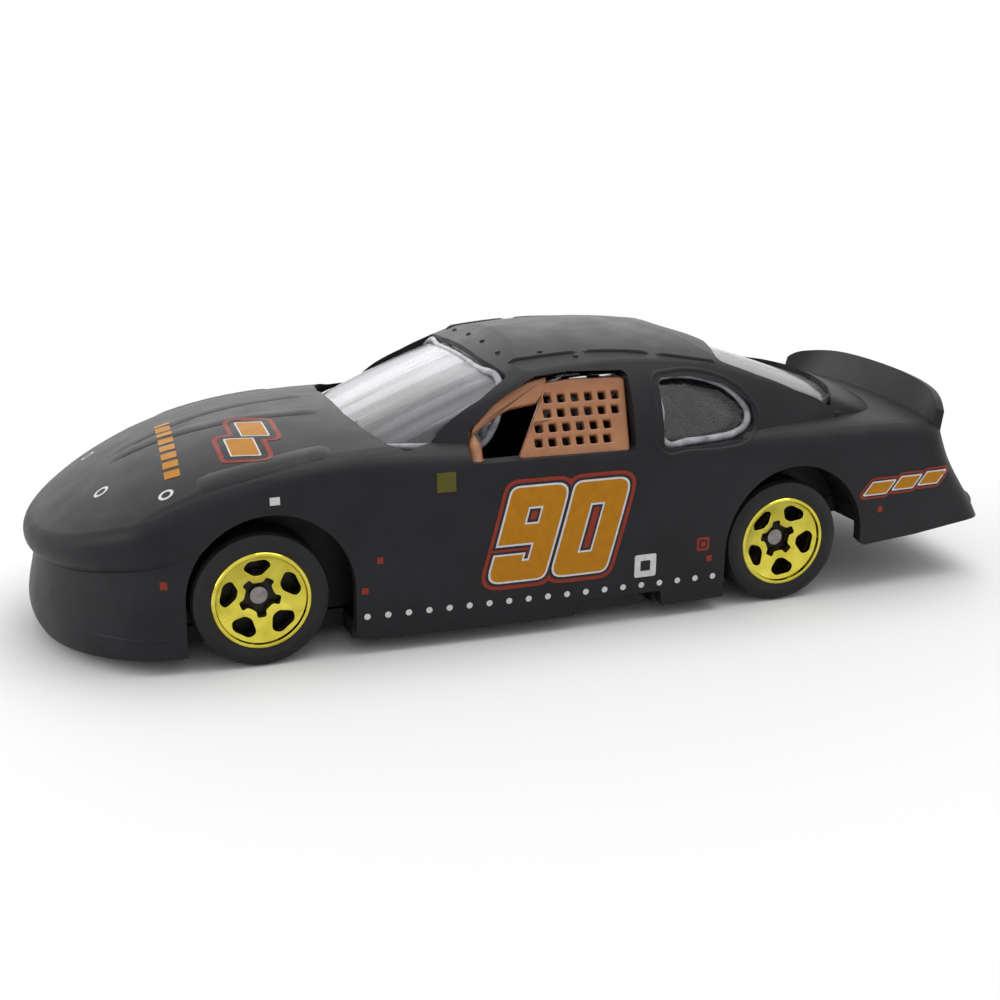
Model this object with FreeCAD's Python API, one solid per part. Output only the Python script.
import FreeCAD, Part
import math
import os
from FreeCAD import Vector

# A die-cast toy stock car, about 1:64, in millimetres.
# +X runs to the nose, +Y to the driver's side (left), +Z up.
# The origin is on the ground, under the middle of the car's length.

# Driving dimensions
wheelbase = 43.7
frontAxleX = 24.8
rearAxleX = frontAxleX - wheelbase
wallThickness = 1.0
glassThickness = 0.7
fitGap = 0.1
wide = 20  # well past either side
far = 60  # well past either end

wheelRadius = 5.19
wheelWidth = 3.5
wheelFaceY = 13.95
rimRadius = 3.73
axleRadius = 0.5
boreGap = 0.06

axleX = {"front": frontAxleX, "rear": rearAxleX}
sideSign = {"left": 1, "right": -1}


def mirrored(shape):
    return shape.mirror(Vector(0, 0, 0), Vector(0, 1, 0))


def bothSides(shapes):
    return shapes + [mirrored(shape) for shape in shapes]


def other(point):
    return (point[0], -point[1], point[2])


def box(xRange, yRange, zRange):
    size = [b - a for a, b in (xRange, yRange, zRange)]
    return Part.makeBox(size[0], size[1], size[2], Vector(xRange[0], yRange[0], zRange[0]))


def post(x, y, radius, zRange):
    return Part.makeCylinder(radius, zRange[1] - zRange[0], Vector(x, y, zRange[0]))


def crossRod(x, z, radius, yRange):
    return Part.makeCylinder(radius, yRange[1] - yRange[0], Vector(x, yRange[0], z), Vector(0, 1, 0))


def bar(start, end, radius):
    along = Vector(*end) - Vector(*start)
    return Part.makeCylinder(radius, along.Length, Vector(*start), along)


def arc(a, b, c):
    return Part.Arc(Vector(*a), Vector(*b), Vector(*c)).toShape()


def line(a, b):
    return Part.makeLine(Vector(*a), Vector(*b))


def loft(wires):
    loftDegree = 3
    return Part.makeLoft(wires, True, False, False, loftDegree)


def prism(points, direction):
    corners = [Vector(*p) for p in points]
    face = Part.Face(Part.makePolygon(corners + corners[:1]))
    return face.extrude(Vector(*direction))


def roundedWire(corners, radius):
    # A closed outline with every corner rounded to the one radius.
    points = [Vector(*c) for c in corners]
    bends = []
    for before, point, after in zip(points[-1:] + points[:-1], points, points[1:] + points[:1]):
        back = (before - point).normalize()
        ahead = (after - point).normalize()
        half = back.getAngle(ahead) / 2
        reach = radius / math.tan(half)
        inward = (back + ahead).normalize() * (radius / math.sin(half) - radius)
        bends.append((point + back * reach, point + inward, point + ahead * reach))
    edges = []
    for bend, following in zip(bends, bends[1:] + bends[:1]):
        edges += [arc(*bend), line(bend[2], following[0])]
    return Part.Wire(edges)


def roundedPrism(corners, radius, direction):
    return Part.Face(roundedWire(corners, radius)).extrude(Vector(*direction))


def filleted(shape, radius, wanted):
    return shape.makeFillet(radius, [edge for edge in shape.Edges if wanted(edge, edge.BoundBox)])


def cornerCentre(endCentreX, endRadius, sideCentre, sideRadius, towards):
    # The centre of an arc that touches both the end's circle and the side's circle.
    dx, dy = sideCentre[0] - endCentreX, sideCentre[1]
    gap = math.hypot(dx, dy)
    along = (endRadius ** 2 - sideRadius ** 2 + gap ** 2) / (2 * gap)
    across = towards * math.sqrt(endRadius ** 2 - along ** 2)
    return (endCentreX + (along * dx - across * dy) / gap, (along * dy + across * dx) / gap)


def endCorner(endX, endRound, cornerRound, sideCentre, sideRound, towards):
    # One rounded corner of a plan outline: where it leaves the end, its middle, where it meets the side.
    endCentreX = endX - towards * endRound
    cx, cy = cornerCentre(endCentreX, endRound - cornerRound, sideCentre, sideRound - cornerRound, towards)
    fromEnd = math.atan2(cy, cx - endCentreX)
    fromSide = math.atan2(cy - sideCentre[1], cx - sideCentre[0])
    middle = (fromEnd + fromSide) / 2
    return [(cx + cornerRound * math.cos(a), cy + cornerRound * math.sin(a))
            for a in (fromEnd, middle, fromSide)]


def planOutline(z, nose, half, tail, rounds, inset=0):
    # A closed plan outline of eight tangent arcs: nose, corners, sides, tail.
    noseRound, frontCorner, tailRound, rearCorner, sideRound, widestX = rounds
    side = (widestX, half - sideRound)
    front = endCorner(nose - inset, noseRound - inset, frontCorner - inset,
                      side, sideRound - inset, 1)
    rear = endCorner(tail + inset, tailRound - inset, rearCorner - inset,
                     side, sideRound - inset, -1)
    left = [(x, y, z) for x, y in front + [(widestX, half - inset)] + rear[::-1]]
    right = [other(p) for p in left]
    edges = [arc(right[0], (nose - inset, 0, z), left[0])]
    edges += [arc(*left[0:3]), arc(*left[2:5]), arc(*left[4:7])]
    edges += [arc(left[6], (tail + inset, 0, z), right[6])]
    edges += [arc(*right[6:3:-1]), arc(*right[4:1:-1]), arc(*right[2::-1])]
    return Part.Wire(edges)


# Lower body in plan, bottom to top.  Columns: height, nose, half width, tail.
lowerPlan = [
    (0.2, 39.7, 14.38, -41.2),
    (3.6, 40.6, 14.58, -41.5),
    (7.0, 39.9, 14.62, -39.7),
    (10.4, 39.3, 14.50, -37.4),
    (13.8, 38.4, 14.20, -36.1),
    (17.2, 37.4, 13.70, -34.9),
    (20.6, 36.4, 13.20, -33.5),
]
lowerRounds = (16, 5, 60, 2.4, 520, -0.4)

# Crown of the lower body, nose to tail.  Columns: x, height on the centre line, crown radius.
crownSections = [
    (44.0, 7.0, 38),
    (37.0, 11.4, 38),
    (30.0, 15.0, 42),
    (23.0, 16.5, 50),
    (15.0, 16.8, 60),
    (6.0, 16.7, 60),
    (-6.0, 16.5, 60),
    (-18.0, 16.1, 60),
    (-28.0, 15.2, 90),
    (-36.0, 14.5, 90),
    (-44.0, 13.7, 90),
]
shoulderRound = 3.8
shoulderY = 15.0
crownSeamY = 12.4  # where the crown's arc meets its shoulder arc
topEdgeRound = 1.6
floorZ = -3

# The nose above the bumper crease: front, half width, back and top, then the tilt of its
# underside and the height of the crease.
nosePlan = (40.7, 14.0, 8)
noseTopZ = 25
noseRounds = (16, 5, 60, 2.4, 150, 26)
creaseTilt = math.degrees(math.atan(0.19))
creaseZ = 6.2
noseFillet = 1.5

# Cabin in plan, bottom to top.  Columns: height, front, half width, back.
cabinPlan = [
    (12.0, 23.2, 14.3, -36.0),
    (14.3, 20.0, 13.95, -33.0),
    (17.0, 14.5, 12.95, -26.9),
    (19.5, 8.2, 11.25, -19.5),
    (21.5, 2.9, 9.3, -13.2),
    (23.5, -1.6, 7.1, -8.6),
]
cabinRounds = (19, 2.6, 16.0, 4.0, 70, -4.5)

# Roof crown, front to back.  Columns: x, height on the centre line.
roofSections = [
    (26.0, 18.2),
    (4.0, 21.7),
    (-5.0, 22.3),
    (-13.0, 21.7),
    (-38.0, 15.5),
]
roofDrop = 4.8
roofEdgeY = 17
roofFootZ = 8


def crownWire(x, centreZ, radius, inset):
    # The crown's arc runs tangent into a shoulder arc, which ends upright.
    outerY = shoulderY - inset
    turn = shoulderRound - inset
    radius -= inset
    centreZ -= inset
    turnY = outerY - turn
    lean = math.asin(turnY / (radius - turn))
    arcZ = centreZ - radius
    turnZ = arcZ + (radius - turn) * math.cos(lean)
    half = (lean + math.pi / 2) / 2
    edge = (x, radius * math.sin(lean), arcZ + radius * math.cos(lean))
    bend = (x, turnY + turn * math.sin(half), turnZ + turn * math.cos(half))
    side = (x, outerY, turnZ)
    foot = (x, outerY, floorZ)
    return Part.Wire([arc(other(edge), (x, 0, centreZ), edge), arc(edge, bend, side), line(side, foot),
                      line(foot, other(foot)), line(other(foot), other(side)),
                      arc(other(side), other(bend), other(edge))])


def roofWire(x, centreZ, inset):
    edge = (x, roofEdgeY, centreZ - inset - roofDrop)
    foot = (x, roofEdgeY, roofFootZ)
    return Part.Wire([arc(other(edge), (x, 0, centreZ - inset), edge), line(edge, foot),
                      line(foot, other(foot)), line(other(foot), other(edge))])


def crownForm(inset):
    return loft([crownWire(x, centreZ, radius, inset) for x, centreZ, radius in crownSections])


def lowerForm(inset):
    plan = loft([planOutline(z, nose, half, tail, lowerRounds, inset)
                 for z, nose, half, tail in lowerPlan])
    return plan.common(crownForm(inset))


def cabinForm(inset):
    # The cabin's walls lean, so a plan inset is a little more than the wall's own thickness.
    leanFactor = 1.2
    plan = loft([planOutline(z, front, half, back, cabinRounds, leanFactor * inset)
                 for z, front, half, back in cabinPlan])
    roof = loft([roofWire(x, centreZ, inset) for x, centreZ in roofSections])
    return plan.common(roof)


def mainBody():
    # The lower body with its top edge rounded over.
    def topEdge(edge, bounds):
        upright = bounds.ZLength > 3.5 and bounds.XLength < 8
        seam = bounds.YLength < 0.2 and abs(abs(bounds.YMax) - crownSeamY) < 0.3
        return bounds.ZMin > 9 and not upright and not seam
    return filleted(lowerForm(0), topEdgeRound, topEdge)


def noseBody():
    # The upper nose juts out over the bumper, above a crease that rises to the wheel arches.
    nose, half, back = nosePlan
    form = Part.Face(planOutline(0, nose, half, back, noseRounds)).extrude(Vector(0, 0, noseTopZ))
    below = box((-far, far), (-wide, wide), (-noseTopZ, 0))
    below.rotate(Vector(0, 0, 0), Vector(0, 1, 0), creaseTilt)
    below.translate(Vector(nose, 0, creaseZ))
    form = form.cut(below).common(crownForm(0))

    def topEdge(edge, bounds):
        onSeam = bounds.YLength < 0.05 and abs(abs(bounds.YMax) - crownSeamY) < 0.1
        return (edge.Curve.TypeId == "Part::GeomBSplineCurve" and bounds.XMax > 31
                and bounds.XMin > 10 and not onSeam)

    def creaseEdge(edge, bounds):
        return edge.Curve.TypeId == "Part::GeomEllipse" and bounds.XMax > 12
    return filleted(filleted(form, noseFillet, topEdge), noseFillet, creaseEdge)


bumperTailX = -40.5
bumperFrontX = -34.0
bumperHalfWidth = 14.2
bumperZ = (4.0, 7.1)
bumperRound = 0.9


def rearBumper():
    # The foot of the tail, a little proud of the panel above it.
    bottom, top = bumperZ
    outline = planOutline(bottom, far / 2, bumperHalfWidth, bumperTailX, lowerRounds)
    form = Part.Face(outline).extrude(Vector(0, 0, top - bottom))
    form = form.common(box((-far, bumperFrontX), (-wide, wide), bumperZ))

    def topEdge(edge, bounds):
        return bounds.ZMin > top - 0.01 and bounds.XMin < bumperFrontX - 0.01
    return filleted(form, bumperRound, topEdge)


roofEdgeRound = 0.8


def cabinBody():
    # The cabin with its roof edge softened.
    def roofEdge(edge, bounds):
        return bounds.ZMin > 17 and bounds.ZLength < 5
    return filleted(cabinForm(0), roofEdgeRound, roofEdge)


# Spoiler blade, middle to end.  Columns: y, foot x, foot z, tip x, tip z.
spoilerSections = [
    (0.0, -33.9, 13.9, -35.7, 17.0),
    (4.2, -33.9, 13.8, -35.7, 16.9),
    (8.0, -33.9, 13.4, -35.6, 16.5),
    (11.0, -33.8, 13.0, -34.8, 15.9),
    (12.4, -33.6, 12.9, -34.2, 15.1),
]
spoilerThickness = 1.1


def spoiler():
    # A curved blade that leans back from the rear edge of the boot lid.
    sections = [(-row[0],) + row[1:] for row in spoilerSections[:0:-1]] + spoilerSections
    wires = []
    for y, footX, footZ, tipX, tipZ in sections:
        corners = [(footX, y, footZ), (tipX, y, tipZ), (tipX - 0.7 * spoilerThickness, y, tipZ - 0.3),
                   (footX - spoilerThickness, y, footZ)]
        wires.append(Part.makePolygon([Vector(*p) for p in corners + corners[:1]]))
    return loft(wires)


def underside():
    # What lies below the body's lower edge, in side view: chin, arch, sill, exhaust recess, arch, tail.
    edge = [(far, 0.5), (40.5, 0.6), (38.0, 0.85), (36.0, 1.05), (34.0, 1.25), (19.0, 1.25), (18.6, 2.8),
            (17.8, 1.9), (17.35, 1.33), (16.8, 1.17), (0.1, 1.15), (-0.3, 2.45), (-7.4, 2.4),
            (-7.7, 1.1), (-14.5, 1.15), (-25.9, 5.0), (-26.85, 4.07), (-32.0, 4.4), (-38.0, 5.05),
            (-far, 5.3)]
    points = [(far, -wide, floorZ)] + [(x, -wide, z) for x, z in edge] + [(-far, -wide, floorZ)]
    return prism(points, (0, 2 * wide, 0))


# Wheel arches, front and rear.  Columns: centre x, centre z, radius.
arches = [
    (24.06, 5.43, 6.28),
    (-19.79, 5.07, 6.58),
]
archInnerY = 10.0


def wheelArches():
    tools = []
    for x, z, radius in arches:
        tools.append(crossRod(x, z, radius, (archInnerY, wide)))
        tools.append(box((x - radius, x + radius), (archInnerY, wide), (floorZ, z)))
    return bothSides(tools)


# Window outlines.  Side windows as (x, z); screens as (x, y) on the driver's half.
frontWindow = [(8.7, 14.2), (8.1, 16.4), (5.6, 18.4), (2.2, 19.9), (-0.6, 20.15), (-5.5, 20.0), (-5.1, 14.2)]
quarterWindow = [(-7.6, 14.05), (-8.0, 19.3), (-11.0, 19.2), (-14.3, 18.3), (-16.2, 16.8), (-16.3, 15.2),
                 (-14.6, 14.15), (-11.0, 14.0)]
windscreen = [(16.0, 4.6), (15.4, 8.6), (14.4, 11.6), (13.3, 12.9), (11.1, 11.8), (6.8, 11.0), (4.2, 9.9),
              (4.8, 5.0)]
rearScreen = [(-16.4, 3.0), (-14.2, 9.7), (-17.6, 10.4), (-21.0, 10.8), (-24.8, 10.6), (-26.6, 7.0),
              (-27.4, 3.0)]


sideWindowRound = 0.55
sideWindowInnerY = 7
screenRound = 0.7
screenCutZ = 14.4
windowCutDepth = 12


def grown(wire, distance):
    # The face within a wire moved out by the distance, or in when it is negative.
    return Part.Face(wire.makeOffset2D(distance) if distance else wire)


def sideWindow(outline, grow=0):
    wire = roundedWire([(x, sideWindowInnerY, z) for x, z in outline], sideWindowRound)
    return grown(wire, grow).extrude(Vector(0, windowCutDepth, 0))


def screen(outline, grow=0):
    corners = outline + [(x, -y) for x, y in outline[::-1]]
    wire = roundedWire([(x, y, screenCutZ) for x, y in corners], screenRound)
    return grown(wire, grow).extrude(Vector(0, 0, windowCutDepth))


def screens(grow=0):
    return [screen(windscreen, grow), screen(rearScreen, grow)]


def windowTools():
    return bothSides([sideWindow(frontWindow), sideWindow(quarterWindow)]) + screens()


rivetX = (33.0, -32.0)
postRadius = 1.6


def bodyShell():
    outer = mainBody().fuse([noseBody(), cabinBody(), spoiler(), rearBumper()])
    cavity = lowerForm(wallThickness).fuse(cabinForm(wallThickness))
    shell = outer.cut([cavity, underside()] + wheelArches() + windowTools())
    return shell.fuse(rivetPosts())


def rivetPosts():
    # Posts under the bonnet and the boot lid that the rivets hold the base to.
    posts = []
    for x, foot in zip(rivetX, (baseTopZ, tailTopZ)):
        posts.append(post(x, 0, postRadius, (foot, wide)).common(lowerForm(wallThickness / 2)))
    return posts


baseBottomZ = 1.0
baseTopZ = 2.4
tailBottomZ = 6.0
tailTopZ = 7.4
baseInset = wallThickness + fitGap
baseStepX = -22.8
baseStepThickness = 1.4
wellGap = 0.5
wellInnerY = wheelFaceY - wheelWidth - wellGap
saddleHalfLength = 2.4
saddleHalfWidth = 9.4
saddleTopZ = wheelRadius + 1.2
saddleFootZ = baseTopZ - 0.5


def wheelHouses():
    # Round over each wheel, as the arches are.
    return bothSides([crossRod(x, z, radius, (wellInnerY, wide)) for x, z, radius in arches])


def openWells():
    # Straight-sided wells, open to the ground, as wide as the arches.
    return bothSides([box((x - radius, x + radius), (wellInnerY, wide), (0, z)) for x, z, radius in arches])


exhaustOutline = [(-0.7, 2.25), (-0.6, 1.05), (-6.2, 1.05), (-6.7, 1.6), (-5.4, 2.25)]
exhaustInnerY = 11.0
exhaustOuterY = 13.4
exhaustRound = 0.3
exhaustPocket = ((-7.3, -0.2), (12.0, wide), (0, tailBottomZ))


def exhausts():
    # A flattened side pipe in each sill's recess.
    outline = [(x, exhaustInnerY, z) for x, z in exhaustOutline]
    return bothSides([roundedPrism(outline, exhaustRound, (0, exhaustOuterY - exhaustInnerY, 0))])


def chassisBase():
    # A floor plate with a saddle over each axle and a side pipe, stepping up behind the rear wheels.
    footprint = Part.Face(planOutline(*lowerPlan[0], lowerRounds, baseInset)).extrude(Vector(0, 0, wide))
    narrow = (-saddleHalfWidth, saddleHalfWidth)
    parts = [footprint.common(box((baseStepX, far), (-wide, wide), (baseBottomZ, baseTopZ))),
             lowerForm(baseInset).common(box((-far, baseStepX), (-wide, wide), (tailBottomZ, tailTopZ))),
             box((baseStepX, baseStepX + baseStepThickness), narrow, (baseBottomZ, tailTopZ))]
    for x in axleX.values():
        parts.append(box((x - saddleHalfLength, x + saddleHalfLength), narrow, (saddleFootZ, saddleTopZ)))
    base = parts[0].fuse(parts[1:])
    base = base.cut(openWells() + wheelHouses() + bothSides([box(*exhaustPocket)]))
    bores = [crossRod(x, wheelRadius, axleRadius + boreGap, (-wide, wide)) for x in axleX.values()]
    return base.fuse(exhausts()).cut(bores + rivetHoles())


rivetHeadRadius = 1.4
rivetHeadHeight = 0.5
rivetShankRadius = 0.85


def rivetHoles():
    holes = []
    for x, bottom, top in zip(rivetX, (baseBottomZ, tailBottomZ), (baseTopZ, tailTopZ)):
        holes.append(post(x, 0, rivetShankRadius + fitGap / 2, (bottom, top)))
        holes.append(post(x, 0, rivetHeadRadius + fitGap, (bottom, bottom + rivetHeadHeight + fitGap)))
    return holes


def rivet(x, bottom, top):
    # A peened rivet sunk into the base: a coned head, then a shank up to the body's post.
    foot = bottom + fitGap
    head = Part.makeCone(0.8 * rivetHeadRadius, rivetHeadRadius, rivetHeadHeight, Vector(x, 0, foot))
    return head.fuse(post(x, 0, rivetShankRadius, (foot, top)))


glassBottomZ = 13.3
glassRearX = -28.6
flushInset = 0.15
netDoorway = ((-7.3, 12.0), (9.0, wide), (10, 20.4))


def windowGlass():
    # One clear moulding under the roof, thick enough at each screen to stand flush in its opening.
    outer = cabinForm(wallThickness + fitGap)
    inner = cabinForm(wallThickness + fitGap + glassThickness)
    skin = outer.cut(inner).common(box((glassRearX, far), (-wide, wide), (glassBottomZ, far)))
    skin = skin.cut(bothSides([box(*netDoorway)]))
    panes = bothSides([sideWindow(quarterWindow, -fitGap)]) + screens(-fitGap)
    flush = cabinForm(flushInset).cut(inner)
    return skin.fuse([flush.common(pane) for pane in panes])


interiorFloorZ = 6.8
interiorFloorTopZ = 7.6
tubTopZ = 12.6
tubX = (-21.2, 17.5)
tubHollow = ((-19.8, 14.0), (-11.5, 11.5), (interiorFloorTopZ, wide))
dashboard = ((11.5, 14.4), (-11.6, 11.6), (interiorFloorZ + 0.5, 13.1))


def interior():
    # A tub with a floor, dashboard, seat and roll cage, moulded in one.
    tub = lowerForm(baseInset + fitGap).common(box(tubX, (-wide, wide), (interiorFloorZ, tubTopZ)))
    tub = tub.cut(box(*tubHollow))
    tub = tub.fuse(liners()).cut(wheelHouses())
    return tub.fuse([box(*dashboard)] + seat() + cage())


linerWall = 0.5


def liners():
    # Half round the tops of the rear wheels, closing the arches off from the cabin.
    x, z, radius = arches[1]
    liner = crossRod(x, z, radius + linerWall, (wellInnerY - linerWall, wide))
    above = box((-far, far), (0, wide), (tailTopZ + fitGap, tubTopZ))
    return bothSides([liner.common(lowerForm(baseInset + fitGap)).common(above)])


# The seat from the side, as (x, z): its back, and the bolsters on either hand.
seatY = (2.4, 8.6)
seatBack = [(-3.2, 9.0), (-1.6, 9.0), (-3.6, 16.6), (-5.0, 16.6)]
seatBolster = [(-3.4, 9.0), (2.6, 9.0), (2.2, 10.6), (-1.0, 11.4), (-2.6, 16.0), (-4.6, 16.0)]
bolsterY = (1.8, 8.4)
bolsterWidth = 0.8
sunk = 0.3  # how far a piece on the floor runs down into it


def seat():
    near, side = seatY
    base = box((-4.0, 3.0), seatY, (interiorFloorTopZ - sunk, 9.4))
    back = prism([(x, near, z) for x, z in seatBack], (0, side - near, 0))
    return [base, back] + [prism([(x, y, z) for x, z in seatBolster], (0, bolsterWidth, 0))
                           for y in bolsterY]


cageRadius = 0.5
hoopCorner = (-8.0, 7.6, 18.6)
hoopFoot = (-8.0, 9.6, interiorFloorTopZ - sunk)
stayFoot = (-18.4, 8.4, interiorFloorTopZ - sunk)


def cage():
    # A hoop behind the seat with a diagonal, and a stay back from each of its top corners.
    return bothSides([bar(hoopFoot, hoopCorner, cageRadius), bar(hoopCorner, stayFoot, cageRadius)]) + [
        bar(other(hoopCorner), hoopCorner, cageRadius), bar(other(hoopFoot), hoopCorner, cageRadius)]


wheelCentre = Vector(8.6, 5.5, 13.9)
wheelLean = Vector(-1, 0, 0.35)
wheelRing = (1.9, 0.28)
columnRadius = 0.35
columnLength = 2.6
spokeRadius = 0.25


def steeringWheel():
    ring = Part.makeTorus(*wheelRing, wheelCentre, wheelLean)
    column = Part.makeCylinder(columnRadius, columnLength, wheelCentre, wheelLean * -1)
    reach = wheelRing[0]
    spoke = Part.makeCylinder(spokeRadius, 2 * reach, wheelCentre - Vector(0, reach, 0), Vector(0, 1, 0))
    return ring.fuse([column, spoke])


# The net's outline, and the arm and the post in front of it, as (x, z).
netOutline = [(4.9, 12.8), (2.7, 18.3), (0.4, 20.6), (-6.6, 20.6), (-6.6, 12.8)]
netArm = [(0.4, 19.3), (5.0, 17.2), (8.0, 14.9), (9.3, 12.8), (10.8, 12.8), (9.6, 15.8), (6.0, 18.9),
          (1.5, 20.7), (-1.5, 20.7)]
netPost = [(7.4, 12.8), (7.4, 15.2), (8.6, 15.4), (9.4, 12.8)]
netColumns = 6
netRows = 4
netPitch = (1.42, 1.18)
netHole = (0.9, 0.72)
netCorner = (-4.7, 14.75)
netRowLean = 0.28  # how far the holes crowd to the rear from one row to the next
netInset = 0.35
netFlange = 0.6
netBand = ((-far, far), (9.3, wide), (12.7, 19.9))
netCutY = (8, 18)


def windowNet():
    # A thick panel in the door opening, with square holes, an arm and a post in front of it, and a
    # flange all round that sits behind the body's wall.
    inner = cabinForm(wallThickness + fitGap + netFlange)
    flange = cabinForm(wallThickness + fitGap).cut(inner)
    skin = flange.fuse(cabinForm(netInset).cut(inner).common(sideWindow(frontWindow, -fitGap)))
    skin = skin.common(box(*netBand)).cut(screens(fitGap))
    nearY, farY = netCutY

    def panel(points):
        return skin.common(prism([(x, nearY, z) for x, z in points], (0, farY - nearY, 0)))
    holes = []
    for row in range(netRows):
        for column in range(netColumns):
            x = netCorner[0] + column * netPitch[0] - netRowLean * row * column / netColumns
            z = netCorner[1] + row * netPitch[1]
            holes.append(box((x, x + netHole[0]), netCutY, (z, z + netHole[1])))
    return panel(netOutline).cut(holes).fuse([panel(netArm), panel(netPost)])


headRadius = 0.66
headDepth = 1.37
headThickness = 0.4


def axle(x):
    # A plain wire with a small head at either end, inside the rims' hollows.
    half = wheelFaceY - headDepth
    heads = [crossRod(x, wheelRadius, headRadius, (half - headThickness, half)),
             crossRod(x, wheelRadius, headRadius, (-half, headThickness - half))]
    return crossRod(x, wheelRadius, axleRadius, (-half, half)).fuse(heads)


# Half sections of a wheel and its rim.  Columns: distance from the axle, depth behind the wheel's face.
wheelBore = axleRadius + boreGap
wheelSection = [
    (wheelBore, 3.3),
    (wheelBore, 1.85),
    (1.9, 1.85),
    (1.9, 2.3),
    (3.2, 2.3),
    (3.2, 1.1),
    (rimRadius, 1.1),
    (rimRadius, 0.12),
    (4.3, 0.0),
    (4.7, 0.04),
    (5.02, 0.2),
    (wheelRadius, 0.55),
    (wheelRadius, wheelWidth - 0.5),
    (5.0, wheelWidth - 0.15),
    (4.6, wheelWidth),
    (3.9, wheelWidth),
    (3.9, 2.8),
    (1.5, 2.8),
    (1.5, 3.3),
]
rimSection = [
    (0.7, 1.8),
    (0.7, 1.15),
    (3.4, 0.3),
    (3.45, 0.06),
    (rimRadius - 0.08, 0.03),
    (rimRadius, 0.1),
    (rimRadius, 1.1),
    (3.1, 1.1),
]


def turned(section, x):
    # Revolves a half section about the wheel's axis.
    points = [Vector(x + r, wheelFaceY - depth, wheelRadius) for r, depth in section]
    face = Part.Face(Part.makePolygon(points + points[:1]))
    return face.revolve(Vector(x, 0, wheelRadius), Vector(0, 1, 0), 360)


def wheel(x):
    # Tyre, barrel and hub in one black moulding, with a pocket that shows through the rim's windows.
    return turned(wheelSection, x)


spokeCount = 5
rimTurns = (4, 44)  # front and rear, in degrees
# One window between spokes.  Columns: distance from the axle, degrees from the window's middle.
rimWindow = [(2.74, 21), (3.12, 0), (2.74, -21), (1.78, -9.5), (1.78, 9.5)]
rimWindowRound = 0.4
rimCutY = (wheelFaceY - 3, wheelFaceY + 1)
hubHoleRadius = 1.16
lobeReach = 1.22
lobeRadius = 0.4


def rim(x, turn):
    # A dished plated disc with five windows and a five-lobed hollow round the axle's end.
    def fromAxle(reach, angle):
        at = math.radians(angle)
        return (x + reach * math.sin(at), rimCutY[0], wheelRadius + reach * math.cos(at))
    depth = rimCutY[1] - rimCutY[0]
    cuts = [crossRod(x, wheelRadius, hubHoleRadius, rimCutY)]
    for index in range(spokeCount):
        angle = 360 / spokeCount * index + turn
        corners = [fromAxle(reach, angle + offset) for reach, offset in rimWindow]
        cuts.append(roundedPrism(corners, rimWindowRound, (0, depth, 0)))
        lobe = Vector(*fromAxle(lobeReach, angle + 180 / spokeCount))
        cuts.append(Part.makeCylinder(lobeRadius, depth, lobe, Vector(0, 1, 0)))
    return turned(rimSection, x).cut(cuts)


def save(name, shape):
    shape.exportStep("parts/" + name + ".step")
    print(name, "solids", len(shape.Solids), "valid", shape.isValid(), "volume", round(shape.Volume, 2))


def main():
    os.makedirs("parts", exist_ok=True)
    save("body_shell", bodyShell())
    save("chassis_base", chassisBase())
    save("rivet_front", rivet(rivetX[0], baseBottomZ, baseTopZ))
    save("rivet_rear", rivet(rivetX[1], tailBottomZ, tailTopZ))
    save("window_glass", windowGlass())
    save("interior", interior())
    save("steering_wheel", steeringWheel())
    save("window_net", windowNet())
    for (end, x), turn in zip(axleX.items(), rimTurns):
        save("axle_" + end, axle(x))
        for side in sideSign:
            place = end + "_" + side
            for name, shape in (("wheel_", wheel(x)), ("rim_", rim(x, turn))):
                save(name + place, shape if side == "left" else mirrored(shape))


main()
